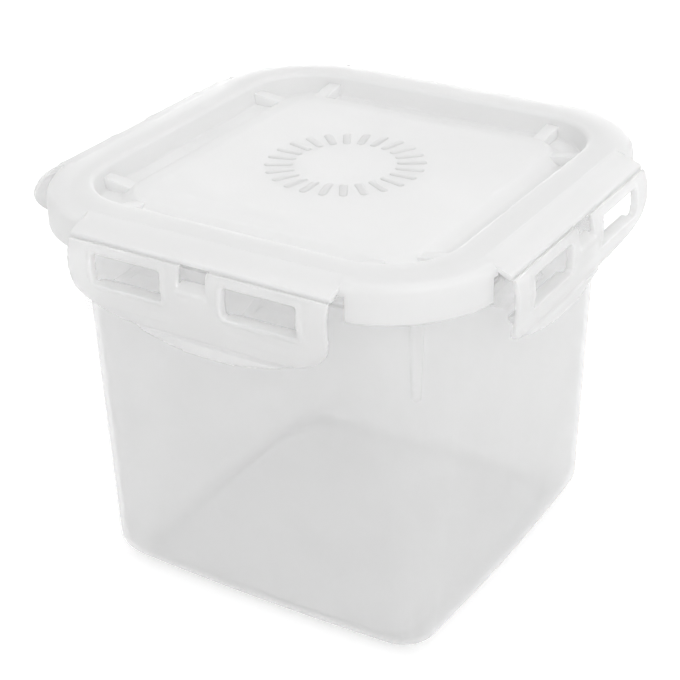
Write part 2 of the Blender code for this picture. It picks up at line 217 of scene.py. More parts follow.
def new_tree(name, sizes):
    """A node tree with a geometry, named sizes and a material as its inputs."""
    tree = bpy.data.node_groups.new(name, "GeometryNodeTree")
    tree.interface.new_socket("Geometry", in_out="INPUT", socket_type="NodeSocketGeometry")
    for size, kind in sizes:
        tree.interface.new_socket(size, in_out="INPUT", socket_type=kind)
    tree.interface.new_socket("Material", in_out="INPUT", socket_type="NodeSocketMaterial")
    tree.interface.new_socket("Geometry", in_out="OUTPUT", socket_type="NodeSocketGeometry")
    return tree, node(tree, "NodeGroupInput")


def close_tree(tree, entry, geometry):
    """End a tree: real geometry with its material."""
    real = node(tree, "GeometryNodeRealizeInstances")
    paint = node(tree, "GeometryNodeSetMaterial")
    out = node(tree, "NodeGroupOutput")
    tree.links.new(geometry, real.inputs[0])
    tree.links.new(real.outputs[0], paint.inputs["Geometry"])
    tree.links.new(entry.outputs["Material"], paint.inputs["Material"])
    tree.links.new(paint.outputs[0], out.inputs[0])
    return tree


def rounded_square_tree():
    """Each point goes to corner * (half - radius) + facing * (radius + swell)."""
    tree, entry = new_tree("rounded_square", [("Swell", "NodeSocketFloat")])
    half, radius = named(tree, "half", "FLOAT"), named(tree, "radius", "FLOAT")
    reach = math_node(tree, "SUBTRACT", half, radius)
    swell = math_node(tree, "MULTIPLY", named(tree, "swell_share", "FLOAT"), entry.outputs["Swell"])
    out = math_node(tree, "ADD", radius, swell)
    corner = scaled(tree, named(tree, "corner", "FLOAT_VECTOR"), reach)
    facing = scaled(tree, named(tree, "facing", "FLOAT_VECTOR"), out)
    rise = node(tree, "ShaderNodeCombineXYZ")
    tree.links.new(named(tree, "rise", "FLOAT"), rise.inputs["Z"])
    place = summed(tree, summed(tree, corner, facing), rise.outputs[0])
    move = node(tree, "GeometryNodeSetPosition")
    tree.links.new(entry.outputs["Geometry"], move.inputs["Geometry"])
    tree.links.new(place, move.inputs["Position"])
    return close_tree(tree, entry, move.outputs[0])


def baked(item, tree, values):
    """Run a node tree on an object, keep its result as a plain mesh and drop the modifier."""
    modifier = item.modifiers.new(tree.name, "NODES")
    modifier.node_group = tree
    for socket in tree.interface.items_tree:
        if socket.in_out == "INPUT" and socket.name in values:
            modifier[socket.identifier] = values[socket.name]
    item.data.update()
    solid = item.evaluated_get(bpy.context.evaluated_depsgraph_get())
    mesh = bpy.data.meshes.new_from_object(solid)
    item.modifiers.remove(modifier)
    item.data = mesh
    return item


rounded_square = rounded_square_tree()
print("tree", rounded_square.name, "has", len(rounded_square.nodes), "nodes")

# %% [markdown]
# ## Skins through levels
# A loft needs only its levels: half width, corner radius, height and how much of
# the swell each gets. The plan repeats the same points on every level, so faces
# join level to level. Corners get more points than sides, because that is where
# the curve is.

# %% Loft helper
corner_steps = 12
side_steps = 8


def plan_points():
    """Corner share, facing and swell share of each point round a square."""
    points = []
    for quarter in range(4):
        turn = Matrix.Rotation(quarter * math.pi / 2, 3, "Z")
        ahead = turn @ Vector((0, 1, 0))
        for step in range(corner_steps + 1):
            angle = math.pi / 2 * step / corner_steps
            facing = Vector((math.cos(angle), math.sin(angle), 0))
            points.append((turn @ Vector((1, 1, 0)), turn @ facing, 0.0))
        for step in range(1, side_steps):
            along = 1 - 2 * step / side_steps
            points.append((turn @ Vector((along, 1, 0)), ahead, 1 - along * along))
    return points


def add_object(name, mesh):
    """Put a mesh in the scene as an object at the origin."""
    item = bpy.data.objects.new(name, mesh)
    bpy.context.scene.collection.objects.link(item)
    return item


def write_attribute(mesh, name, kind, values):
    """Store one value for each point of a mesh."""
    layer = mesh.attributes.new(name, kind, "POINT")
    key = "vector" if kind == "FLOAT_VECTOR" else "value"
    layer.data.foreach_set(key, values)


def loft(name, levels, material, swell=0.0, ring=False):
    """Skin a body through levels (half, radius, height, swell share)."""
    plan = plan_points()
    count = len(plan)
    faces = []
    last = len(levels) if ring else len(levels) - 1
    for level in range(last):
        low, high = level * count, (level + 1) % len(levels) * count
        for index in range(count):
            after = (index + 1) % count
            faces.append((low + index, low + after, high + after, high + index))
    if not ring:
        faces.append(tuple(reversed(range(count))))
        faces.append(tuple((len(levels) - 1) * count + index for index in range(count)))
    mesh = bpy.data.meshes.new(name)
    mesh.from_pydata([(0, 0, 0)] * (count * len(levels)), [], faces)
    rows = [(point, level) for level in levels for point in plan]
    write_attribute(mesh, "corner", "FLOAT_VECTOR", [x for point, _ in rows for x in point[0]])
    write_attribute(mesh, "facing", "FLOAT_VECTOR", [x for point, _ in rows for x in point[1]])
    write_attribute(mesh, "swell_share", "FLOAT", [point[2] * level[3] for point, level in rows])
    for index, key in enumerate(("half", "radius", "rise")):
        write_attribute(mesh, key, "FLOAT", [level[index] for _, level in rows])
    item = baked(add_object(name, mesh), rounded_square, {"Swell": swell, "Material": material})
    for key in ("corner", "facing", "swell_share", "half", "radius", "rise"):
        item.data.attributes.remove(item.data.attributes[key])
    print(name, len(item.data.vertices), "points in", len(levels), "levels")
    return item


# %% [markdown]
# ## Soft corners
# A moulded edge is never sharp. Each corner of a section is replaced by a short
# curve that starts and ends a set distance from it, which gives the thin bright
# line that every edge of the real lid shows.

# %% Soft outlines
def soften(outline, steps=3, closed=False):
    """Round the corners of an outline of (across, up, softness)."""
    points = []
    for index, (across, up, soft) in enumerate(outline):
        corner = Vector((across, up))
        ends = index in (0, len(outline) - 1) and not closed
        if ends or not soft:
            points.append((across, up))
            continue
        before = Vector(outline[index - 1][:2])
        after = Vector(outline[(index + 1) % len(outline)][:2])
        start = corner + (before - corner).normalized() * min(soft, (before - corner).length * 0.48)
        stop = corner + (after - corner).normalized() * min(soft, (after - corner).length * 0.48)
        for step in range(steps + 1):
            t = step / steps
            point = start * (1 - t) ** 2 + corner * 2 * t * (1 - t) + stop * t * t
            points.append((point.x, point.y))
    return points


def face_outwards(bm):
    """Merge doubles and turn all faces outwards."""
    bmesh.ops.remove_doubles(bm, verts=bm.verts, dist=1e-6)
    bmesh.ops.recalc_face_normals(bm, faces=bm.faces)


ACROSS = Matrix(((0, 0, -1, 0), (-1, 0, 0, 0), (0, 1, 0, 0), (0, 0, 0, 1)))
ALONG = Matrix(((1, 0, 0, 0), (0, 0, -1, 0), (0, 1, 0, 0), (0, 0, 0, 1)))


def shrunk(outline, inset):
    """An outline drawn in by an inset, whichever way round it runs."""
    area = sum(a[0] * b[1] - b[0] * a[1] for a, b in zip(outline, outline[1:] + outline[:1]))
    turn = 1 if area > 0 else -1
    points = []
    for index, point in enumerate(outline):
        before = (Vector(point) - Vector(outline[index - 1])).normalized()
        after = (Vector(outline[(index + 1) % len(outline)]) - Vector(point)).normalized()
        way = (before + after).normalized()
        miter = min(1.5, 1 / max(0.5, way.dot(after)))
        step = inset * turn * miter
        points.append((point[0] - way.y * step, point[1] + way.x * step))
    return points


def prism(name, outline, thickness, place, soft=0.0):
    """A flat outline pulled to a thickness, with softened rims at its two ends."""
    bm = bmesh.new()
    half = thickness / 2
    slices = [(-half, soft), (-half + 0.3 * soft, 0.3 * soft), (-half + soft, 0.0),
              (half - soft, 0.0), (half - 0.3 * soft, 0.3 * soft), (half, soft)]
    if not soft:
        slices = [(-half, 0.0), (half, 0.0)]
    rows = [[bm.verts.new((across, up, depth)) for across, up in shrunk(outline, inset)]
            for depth, inset in slices]
    bm.faces.new(rows[0][::-1])
    bm.faces.new(rows[-1])
    for low, high in zip(rows[:-1], rows[1:]):
        for index in range(len(low)):
            after = (index + 1) % len(low)
            bm.faces.new((low[index], low[after], high[after], high[index]))
    bmesh.ops.transform(bm, matrix=place, verts=bm.verts)
    face_outwards(bm)
    mesh = bpy.data.meshes.new(name)
    bm.to_mesh(mesh)
    bm.free()
    return add_object(name, mesh)


def moved(frame_matrix, outward=0.0, along=0.0):
    """Shift a frame from the middle of the object to a place on its front."""
    return Matrix.Translation((along, -outward, 0.0)) @ frame_matrix


def joined(items):
    """Put several items that don't touch into the first one."""
    bm = bmesh.new()
    for item in items:
        bm.from_mesh(item.data)
    bm.to_mesh(items[0].data)
    bm.free()
    for item in items[1:]:
        bpy.data.objects.remove(item)
    return items[0]


def tidy(item):
    """Merge an item's doubles and say how many edges stay open."""
    bm = bmesh.new()
    bm.from_mesh(item.data)
    bmesh.ops.remove_doubles(bm, verts=bm.verts, dist=1e-6)
    bmesh.ops.dissolve_degenerate(bm, edges=bm.edges, dist=1e-6)
    loose = sum(len(edge.link_faces) != 2 for edge in bm.edges)
    volume = round(bm.calc_volume() * 1e6, 3)
    print(item.name, len(bm.faces), "faces,", loose, "open edges, volume", volume, "ml")
    bm.to_mesh(item.data)
    bm.free()


def carve(body, tool, operation):
    """Join, cut or intersect a body with a tool, and drop the tool."""
    modifier = body.modifiers.new(operation, "BOOLEAN")
    modifier.operation = operation
    modifier.object = tool
    modifier.solver = "EXACT"
    solid = body.evaluated_get(bpy.context.evaluated_depsgraph_get())
    mesh = bpy.data.meshes.new_from_object(solid)
    body.modifiers.clear()
    body.data = mesh
    bpy.data.objects.remove(tool)
    tidy(body)
    return body


def finish_edges(item, material, width=0.0, angle=32):
    """Soften an item's sharp edges, shade it smooth and give it its material."""
    if width:
        bevel = item.modifiers.new("soft edges", "BEVEL")
        bevel.width = width
        bevel.segments = 2
        bevel.limit_method = "ANGLE"
        bevel.angle_limit = math.radians(angle)
        bevel.use_clamp_overlap = True
        solid = item.evaluated_get(bpy.context.evaluated_depsgraph_get())
        mesh = bpy.data.meshes.new_from_object(solid)
        item.modifiers.clear()
        item.data = mesh
    item.data.materials.clear()
    item.data.materials.append(material)
    item.data.shade_smooth()
    item.data.set_sharp_from_angle(angle=math.radians(angle))
    return item


# %% [markdown]
# ## Repeats round the middle
# Ledges, ribs and the lid's motif repeat at even turns round the upright axis.
# One tree makes every one of these sets: points without spread, each with its
# own turn, carry copies of the first piece.

# %% The turned copies tree
def turned_copies_tree():
    """Copies of a piece turned evenly round the upright axis."""
    tree, entry = new_tree("turned_copies", [("Count", "NodeSocketInt")])
    points = node(tree, "GeometryNodePoints")
    tree.links.new(entry.outputs["Count"], points.inputs["Count"])
    index = node(tree, "GeometryNodeInputIndex")
    full = node(tree, "ShaderNodeMath", operation="DIVIDE")
    full.inputs[0].default_value = 2 * math.pi
    tree.links.new(entry.outputs["Count"], full.inputs[1])
    turn = math_node(tree, "MULTIPLY", index.outputs[0], full.outputs[0])
    angles = node(tree, "ShaderNodeCombineXYZ")
    tree.links.new(turn, angles.inputs["Z"])
    copies = node(tree, "GeometryNodeInstanceOnPoints")
    tree.links.new(points.outputs[0], copies.inputs["Points"])
    tree.links.new(entry.outputs["Geometry"], copies.inputs["Instance"])
    tree.links.new(angles.outputs[0], copies.inputs["Rotation"])
    return close_tree(tree, entry, copies.outputs[0])


turned_copies = turned_copies_tree()


def repeated(item, count, material):
    """Repeat an item evenly round the middle."""
    baked(item, turned_copies, {"Count": count, "Material": material})
    print(item.name, count, "copies,", len(item.data.polygons), "faces")
    return item


# %% [markdown]
# ## Tub
# The tub is a tapered shell 1.6 mm thick. It stands on a flat foot, turns up in a
# wide curve, and near the top carries a flange under the lid's skirt. Its corners
# are tight at the foot and wide at the rim, which the levels show as two columns
# of numbers that change at their own pace.

# %% Tub
rim_half = 0.0666
rim_radius = 0.0271
base_half = 0.0596
base_radius = 0.0100
foot_radius = 0.0110
foot_curve = 0.0098
foot_rise = 0.0010
tub_top = 0.1314
taper_top = 0.1220
wall = 0.0016
floor_thickness = 0.0020
tub_swell = 0.0012
flange_half = 0.0729
flange_top = 0.1276


def tapered_levels(inset, height_from, steps=6):
    """Levels of the tapered wall between the foot's curve and the rim."""
    levels = []
    for step in range(steps + 1):
        share = step / steps
        half = base_half + (rim_half - base_half) * share - inset
        radius = base_radius + (rim_radius - base_radius) * share - inset
        levels.append((half, radius, height_from + (taper_top - height_from) * share, 1 - share))
    return levels


def foot_levels(inset, bottom, rise, steps=9):
    """Levels of the curve from the flat foot up to the wall."""
    levels = []
    curve = foot_curve - inset
    flat = base_half - foot_curve
    for step in range(steps):
        angle = math.pi / 2 * step / steps
        half = flat + curve * math.sin(angle)
        radius = foot_radius + (base_radius - inset - foot_radius) * math.sin(angle)
        height = bottom + rise + (curve - rise) * (1 - math.cos(angle))
        levels.append((half, radius, height, 1.0))
    return levels


def rim_levels():
    """Levels of the flange and the rim, whose corners share their centres."""
    section = soften([
        (rim_half, taper_top, 0), (rim_half, 0.1238, 0.0006), (flange_half, 0.1260, 0.0005),
        (flange_half, flange_top, 0.0005), (rim_half, flange_top, 0.0006),
        (rim_half, tub_top, 0.0005), (rim_half - wall, tub_top, 0.0005),
        (rim_half - wall, taper_top, 0),
    ])
    return [(half, rim_radius + half - rim_half, height, 0.0) for half, height in section]


outside = [(base_half - foot_curve, foot_radius, 0.0, 1.0)] + foot_levels(0, 0, foot_rise)
outside += tapered_levels(0, foot_curve)
inside = foot_levels(wall, floor_thickness, 0)
inside += tapered_levels(wall, floor_thickness + foot_curve - wall)
tub_levels = outside[:-1] + rim_levels() + inside[::-1][1:]
tub_shell = loft("tub_shell", tub_levels, tub_plastic, swell=tub_swell)
finish_edges(tub_shell, tub_plastic, angle=50)
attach(tub_shell, "tub")

# %% [markdown]
# ## Lock ledges and corner ribs
# Under the flange each side has two hollow ledges, one behind each window of its
# flap, which the hooks catch. Each corner has a rib that tapers away down the
# wall. Both are small closed pieces that reach into the wall, so no seam opens
# behind them. Their plastic has a lower alpha than the tub's, because one looks
# through several of their faces at once. It is also coloured lighter than the
# tub's: painted light that lifts the shade behind the flap windows and on the ribs.

# %% Ledges and ribs
ledge_half = 0.0740
ledge_bottom = 0.11651
ledge_rise = 0.0081
ledge_foot = (0.0105, 0.0354)
ledge_crown = (0.0168, 0.0250)
ledge_wall = 0.0016
ledge_soft = 0.0006
rib_rings = ((0.0943, 0.0012, 0.0012), (0.0953, 0.0021, 0.0018), (0.1249, 0.0026, 0.0036))
rib_flare = 0.0016
rib_soft = 0.0005


def ledge_outline(side, inset, bottom):
    """Front view of a ledge, wide below and narrow above, with its longer slant outside."""
    top = ledge_bottom + ledge_rise - inset
    return [(side * (ledge_foot[0] + 1.4 * inset), bottom),
            (side * (ledge_foot[1] - 1.8 * inset), bottom),
            (side * (ledge_crown[1] - 0.4 * inset), top),
            (side * (ledge_crown[0] + 0.4 * inset), top)]


def lock_ledges():
    """Two hollow ledges on each side, open below."""
    root = rim_half - wall / 2
    depth = ledge_half - root
    inner_root = rim_half + 0.0003
    inner_depth = ledge_half - ledge_wall - inner_root
    pair = []
    for side in (-1, 1):
        shape = [(x, z, ledge_soft) for x, z in ledge_outline(side, 0, ledge_bottom)]
        ledge = prism("lock_ledges", soften(shape, closed=True), depth,
                      moved(ALONG, root + depth / 2), 0.0002)
        hollow = prism("hollow", ledge_outline(side, ledge_wall, ledge_bottom - 0.001),
                       inner_depth, moved(ALONG, inner_root + inner_depth / 2))
        pair.append(carve(ledge, hollow, "DIFFERENCE"))
    return finish_edges(repeated(joined(pair), 4, lightened_ledge_plastic), lightened_ledge_plastic)


def corner_reach(height):
    """Distance from the middle to the tub's rounded corner, along the diagonal."""
    share = (min(height, taper_top) - foot_curve) / (taper_top - foot_curve)
    half = base_half + (rim_half - base_half) * share
    radius = base_radius + (rim_radius - base_radius) * share
    return (half - radius) * math.sqrt(2) + radius


def corner_ribs():
    """Four ribs down the corners, wide above and narrow below."""
    bm = bmesh.new()
    rings = []
    for height, out, width in rib_rings:
        start = corner_reach(height)
        root = width + rib_flare
        section = ((-wall / 2, -root), (out, -width), (out, width), (-wall / 2, root))
        rings.append([bm.verts.new((start + depth, across / 2, height))
                      for depth, across in section])
    bm.faces.new(rings[0][::-1])
    bm.faces.new(rings[-1])
    for low, high in zip(rings[:-1], rings[1:]):
        for index in range(4):
            after = (index + 1) % 4
            bm.faces.new((low[index], low[after], high[after], high[index]))
    bmesh.ops.rotate(bm, verts=bm.verts, matrix=Matrix.Rotation(-math.pi / 4, 3, "Z"))
    face_outwards(bm)
    mesh = bpy.data.meshes.new("corner_ribs")
    bm.to_mesh(mesh)
    bm.free()
    rib = add_object("corner_ribs", mesh)
    return finish_edges(repeated(rib, 4, lightened_ledge_plastic), lightened_ledge_plastic, width=rib_soft)


for piece in (lock_ledges(), corner_ribs()):
    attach(piece, "tub")
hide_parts("tub")

# %% [markdown]
# ## Lid
# From its middle outwards the lid has a raised panel with a soft step, a channel,
# a flat bead and a skirt. Underneath run the plug that fits inside the tub and the
# groove for the ring. It is one section swept round the same rounded square, so
# the loft is used again. The skirt is then opened on each side, where a sloped
# plate carries the hinge.

# %% Lid
corner_centre = rim_half - rim_radius
bead_top = 0.1360
bead_under = 0.1344
channel_floor = 0.1290
skirt_bottom = 0.1240
bead_half = 0.0763
bead_crest = 0.0713
plate_end = 0.0444
plate_half = 0.0800
panel_corner = 0.0035
opening_half = 0.0783
opening_margin = 0.0016
trim_margin = 0.0004
channel_rib_width = 0.0046
channel_rib_place = 0.0418


def lid_section():
    """The lid's section from its middle over the top, down the skirt and back below."""
    return soften([
        (0.0400, 0.1334, 0), (0.0430, 0.1334, 0.0016), (0.0500, 0.1322, 0.0009),
        (0.0540, channel_floor, 0.0009), (0.0606, channel_floor, 0.0009),
        (0.0616, 0.1350, 0.0005), (0.0626, bead_top, 0.0008),
        (0.0668, 0.1364, 0.0020), (bead_crest, bead_top, 0.0014), (0.07465, 0.13545, 0.0010),
        (0.07597, 0.1338, 0.0008), (bead_half, 0.1320, 0.0008), (bead_half, skirt_bottom, 0.0005),
        (0.0747, skirt_bottom, 0.0005), (0.0747, 0.1333, 0.0004), (0.0736, bead_under, 0.0004),
        (0.0688, bead_under, 0.0003), (0.0688, 0.1302, 0.0003), (0.0676, 0.1302, 0.0003),
        (0.0676, bead_under, 0.0003), (0.0644, bead_under, 0.0003), (0.0644, 0.1274, 0.0006),
        (0.0532, 0.1274, 0.0008), (0.0492, 0.1306, 0.0009), (0.0430, 0.1318, 0.0010),
        (0.0400, 0.1318, 0),
    ])


def lid_levels():
    """The lid's levels, their corner radii shared down to the panel's own."""
    return [(half, max(half - corner_centre, panel_corner), height, 0.0)
            for half, height in lid_section()]


def on_sides(item):
    """Repeat a tool on the four sides."""
    return repeated(item, 4, lid_plastic)


def hinge_plates():
    """Sloped plates from the bead's crest out to the hinge lines, with a soft outer rim."""
    outline = soften([
        (0.0701, bead_top, 0), (bead_crest, bead_top, 0.0012), (plate_half, 0.1327, 0.0006),
        (plate_half, 0.1313, 0.0004), (0.0786, 0.1313, 0.0004), (0.0747, 0.1337, 0.0006),
        (0.0701, 0.1337, 0),
    ], closed=True)
    return on_sides(prism("plates", outline, 2 * plate_end, ACROSS, 0.0001))


def channel_ribs():
    """A pair of short ribs across the channel on each side."""
    outline = [(0.0540, 0.1282), (0.0626, 0.1282), (0.0626, 0.1330), (0.0560, 0.1324),
               (0.0520, 0.1316), (0.0500, 0.1312)]
    pair = [prism("channel_ribs", outline, channel_rib_width,
                  moved(ACROSS, along=side * channel_rib_place), 0.0004) for side in (-1, 1)]
    return on_sides(joined(pair))


def lid_body():
    """The lid with open sides, plates and channel ribs."""
    lid = loft("lid_body", lid_levels(), lid_plastic)
    opening = [(0.0691, 0.1220), (opening_half, 0.1220), (opening_half, 0.1318), (0.0691, 0.1318)]
    opened = 2 * (plate_end + opening_margin)
    carve(lid, on_sides(prism("openings", opening, opened, ACROSS)), "DIFFERENCE")
    trim = [(bead_crest, 0.1240), (opening_half, 0.1240), (opening_half, 0.1380),
            (bead_crest, 0.1380)]
    trimmed = 2 * (plate_end - trim_margin)
    carve(lid, on_sides(prism("trims", trim, trimmed, ACROSS)), "DIFFERENCE")
    carve(lid, hinge_plates(), "UNION")
    carve(lid, channel_ribs(), "UNION")
    return finish_edges(lid, lid_plastic, angle=25)


lid_piece = lid_body()
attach(lid_piece, "lid")
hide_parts("lid")

# %% [markdown]
# ## Hinge films
# Lid and flap come out of one mould, joined by a film a few tenths of a
# millimetre thick that bends. It runs on both sides of the finger notch. Here it
# belongs to the lid and ends where the flap's round top begins, so the flap
# passes close by it at every angle and it never has to bend.

# %% Hinge films
film_across = (plate_half - 0.0002, 0.0802)
film_up = (0.1311, 0.1315)
film_span = (0.0050, 0.0440)


def hinge_films():
    """Thin webs on the plates' rims, on both sides of the notch."""
    (inner, outer), (low, high), (start, stop) = film_across, film_up, film_span
    section = [(inner, low), (outer, low), (outer, high), (inner, high)]
    pair = [prism("hinge_films", section, stop - start,
                  moved(ACROSS, along=side * (start + stop) / 2)) for side in (-1, 1)]
    return finish_edges(repeated(joined(pair), 4, lid_plastic), lid_plastic)


films = hinge_films()
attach(films, "lid")

# %% [markdown]
# ## Motif on the panel
# Such lids carry a low relief in the middle of the panel. Here it is a plain
# rosette: short rounded ribs round a ring. It is raised only a quarter of a
# millimetre, so it shows as soft light and shade, as moulded relief does.

# %% Rosette
panel_top = 0.1334
relief = 0.00026
rosette_ribs = 24
rosette_inner, rosette_outer = 0.0160, 0.0255
rosette_width = 0.0014


def rosette_rib():
    """One rounded rib of the rosette, lying along the X axis."""
    bm = bmesh.new()
    steps = 16
    inner, outer, width = rosette_inner, rosette_outer, rosette_width
    rows = []
    for share, sink in ((1.0, -0.0001), (0.9, relief * 0.22), (0.7, relief * 0.7), (0.4, relief)):
        ring = []
        for step in range(steps):
            angle = 2 * math.pi * step / steps
            centre = outer - width if math.cos(angle) > 0 else inner + width
            ring.append(bm.verts.new((centre + width * share * math.cos(angle),
                                      width * share * math.sin(angle), panel_top + sink)))
        rows.append(ring)
    for low, high in zip(rows[:-1], rows[1:]):
        for index in range(steps):
            after = (index + 1) % steps
            bm.faces.new((low[index], low[after], high[after], high[index]))
    bm.faces.new(rows[0][::-1])
    bm.faces.new(rows[-1])
    face_outwards(bm)
    mesh = bpy.data.meshes.new("rosette_ribs")
    bm.to_mesh(mesh)
    bm.free()
    return add_object("rosette_ribs", mesh)


rosette = repeated(rosette_rib(), rosette_ribs, lid_plastic)
finish_edges(rosette, lid_plastic, angle=60)
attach(rosette, "lid")

# %% [markdown]
# ## Flaps
# A flap is a curved strip: it bulges out at the windows and tucks in below them.
# Its section is a smooth curve through a few points, pulled along the hinge and
# cut to its outline with an elliptic lower edge. Windows get a raised border, and
# each window's sill runs down into a hook. The pieces are joined by Booleans, and
# a fine remesh that is relaxed afterwards rounds every edge at once, where a bevel
# would fold over itself at the hooks. One flap is built at the origin and copied
# to the four sides, each copy turned to its own angle about its hinge.

# %% Flap
hinge_half = 0.08075
hinge_height = 0.1313
flap_end = 0.0442
flap_thickness = 0.0014
flap_drop = 0.0305
flap_end_drop = 0.0115
window_span = (0.0105, 0.0352)
window_top, window_bottom = -0.0024, -0.0120
border_margin, border_soft = 0.0015, 0.0026
border_relief = 0.00114
window_soft = 0.0014
notch_half, notch_drop = 0.0048, 0.0064
tongue_width = 0.0100
hook_reach = 0.0061
grid_size, relax_rounds = 0.00032, 5
flap_angles = {"front": 0, "right": 0, "back": 0, "left": 42}
flap_line = [
    (0.0, 0.0002), (0.00042, -0.00137), (0.00094, -0.00336), (0.0013, -0.00625), (0.00122, -0.0093),
    (0.00072, -0.01235), (0.00013, -0.01495), (-0.00088, -0.01754), (-0.00200, -0.01998),
    (-0.00335, -0.02227), (-0.00458, -0.0244), (-0.00534, -0.02625), (-0.00548, -0.0275),
    (-0.00520, -0.0289), (-0.0047, -0.0305),
]


def smooth_line(points, steps=3):
    """A smooth curve through points."""
    padded = [points[0]] + list(points) + [points[-1]]
    line = []
    for index in range(1, len(padded) - 2):
        a, b, c, d = (Vector(padded[index + shift]) for shift in (-1, 0, 1, 2))
        for step in range(steps):
            t = step / steps
            line.append(0.5 * (2 * b + (c - a) * t + (2 * a - 5 * b + 4 * c - d) * t ** 2
                               + (3 * b - a - 3 * c + d) * t ** 3))
    line.append(Vector(points[-1]))
    return line


def strip(line, thickness, first):
    """Close a line into a strip that thins to its first point."""
    left, right = [], []
    for index, point in enumerate(line):
        way = (line[min(index + 1, len(line) - 1)] - line[max(index - 1, 0)]).normalized()
        share = min(1.0, index / 3)
        half = (first + (thickness - first) * share) / 2
        left.append((point.x - way.y * half, point.y + way.x * half))
        right.append((point.x + way.y * half, point.y - way.x * half))
    return left + right[::-1]


def flap_outline(steps=32):
    """Front view of the flap: square at the hinge, elliptic below."""
    top = 0.002
    points = [(-flap_end, top), (-flap_end, -flap_end_drop)]
    for step in range(1, steps):
        angle = math.pi * step / steps
        points.append((-flap_end * math.cos(angle),
                       -flap_end_drop - (flap_drop - flap_end_drop) * math.sin(angle)))
    return points + [(flap_end, -flap_end_drop), (flap_end, top)]


def window_outline(side, grow, soft):
    """A window's rounded outline, grown by a border."""
    left, right = sorted(side * x for x in window_span)
    left, right = left - grow, right + grow
    low, high = window_bottom - grow, window_top + grow
    corners = [(right, high, soft), (left, high, soft), (left, low, soft), (right, low, soft)]
    return soften(corners, closed=True, steps=4)


def hook_outline():
    """Section of a sill that runs down into a hook."""
    return soften([
        (0.0007, window_bottom, 0), (-0.0026, window_bottom, 0.0005), (-0.00373, -0.01598, 0.0006),
        (-hook_reach, -0.0164, 0.0005), (-hook_reach, -0.0180, 0.0006), (-0.0014, -0.0205, 0),
        (0.0004, -0.0164, 0),
    ], closed=True)


def relaxed(item, voxel, rounds):
    """Remesh an item finely and relax it, which rounds all its edges as a mould does."""
    remesh = item.modifiers.new("fine grid", "REMESH")
    remesh.mode = "VOXEL"
    remesh.voxel_size = voxel
    relax = item.modifiers.new("relax", "SMOOTH")
    relax.factor = 0.5
    relax.iterations = rounds
    solid = item.evaluated_get(bpy.context.evaluated_depsgraph_get())
    mesh = bpy.data.meshes.new_from_object(solid)
    item.modifiers.clear()
    item.data = mesh
    tidy(item)
    return item


def flap_pattern():
    """One flap about its own hinge line."""
    line = smooth_line(flap_line)
    flap = prism("flap", strip(line, flap_thickness, 0.0009), 2 * flap_end, ACROSS)
    carve(flap, prism("outline", flap_outline(), 0.03, ALONG), "INTERSECT")
    raised = strip(line[3:-10], flap_thickness + border_relief, flap_thickness)
    border = prism("border", raised, 2 * flap_end - 0.0006, ACROSS)
    outlines = [prism("windows", window_outline(side, border_margin, border_soft), 0.03, ALONG)
                for side in (-1, 1)]
    carve(border, joined(outlines), "INTERSECT")
    carve(flap, border, "UNION")
    crease = [(-0.0028, -0.0246), (-0.0054, -0.0257), (-0.0054, -0.0268), (-0.0028, -0.0278)]
    carve(flap, prism("crease", crease, 0.1, ACROSS), "DIFFERENCE")
    holes = [prism("holes", window_outline(side, 0.0, window_soft), 0.03, ALONG)
             for side in (-1, 1)]
    carve(flap, joined(holes), "DIFFERENCE")
    middle, width = sum(window_span) / 2, window_span[1] - window_span[0]
    hooks = [prism("hooks", hook_outline(), width, moved(ACROSS, along=side * middle), 0.0004)
             for side in (-1, 1)]
    carve(flap, joined(hooks), "UNION")
    notch = [(-notch_half, -notch_drop), (notch_half, -notch_drop), (notch_half, 0.002),
             (-notch_half, 0.002)]
    carve(flap, prism("notch", notch, 0.03, ALONG), "DIFFERENCE")
    tongue = soften([(0.0028, -0.0066, 0.0009), (-0.0014, -0.0046, 0.0004),
                     (-0.0014, -0.0080, 0), (0.0010, -0.0112, 0)], closed=True)
    carve(flap, prism("tongue", tongue, tongue_width, ACROSS), "UNION")
    return finish_edges(relaxed(flap, grid_size, relax_rounds), flap_plastic, angle=60)


def hang_flaps():
    """Copy the flap to each side and turn it about its hinge."""
    pattern = flap_pattern()
    for quarter, (side, degrees) in enumerate(flap_angles.items()):
        mesh = pattern.data.copy()
        turn = Matrix.Rotation(quarter * math.pi / 2, 4, "Z")
        swing = Matrix.Rotation(-math.radians(degrees), 4, "X")
        mesh.transform(turn @ Matrix.Translation((0, -hinge_half, hinge_height)) @ swing)
        body = "flap_" + side
        flap = add_object("moulded_" + body, mesh)
        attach(flap, body)
        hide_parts(body)
    print("four flaps of", len(pattern.data.polygons), "faces")
    bpy.data.objects.remove(pattern)


hang_flaps()

# %% [markdown]
# ## Seal ring
# The ring lies in the lid's groove above the tub's rim. It only shows when the lid
# is lifted, but it is rounded like the real silicone.

# %% Seal ring
seal_span, seal_up, seal_soft = (0.0647, 0.0673), (0.1317, 0.1341), 0.0008
seal_section = soften([
    (seal_span[0], seal_up[0], seal_soft), (seal_span[1], seal_up[0], seal_soft),
    (seal_span[1], seal_up[1], seal_soft), (seal_span[0], seal_up[1], seal_soft),
], closed=True)
seal_levels = [(half, half - corner_centre, height, 0.0) for half, height in seal_section]
seal = loft("silicone_ring", seal_levels, seal_rubber, ring=True)
finish_edges(seal, seal_rubber, angle=60)
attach(seal, "lid")
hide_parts("seal_ring")
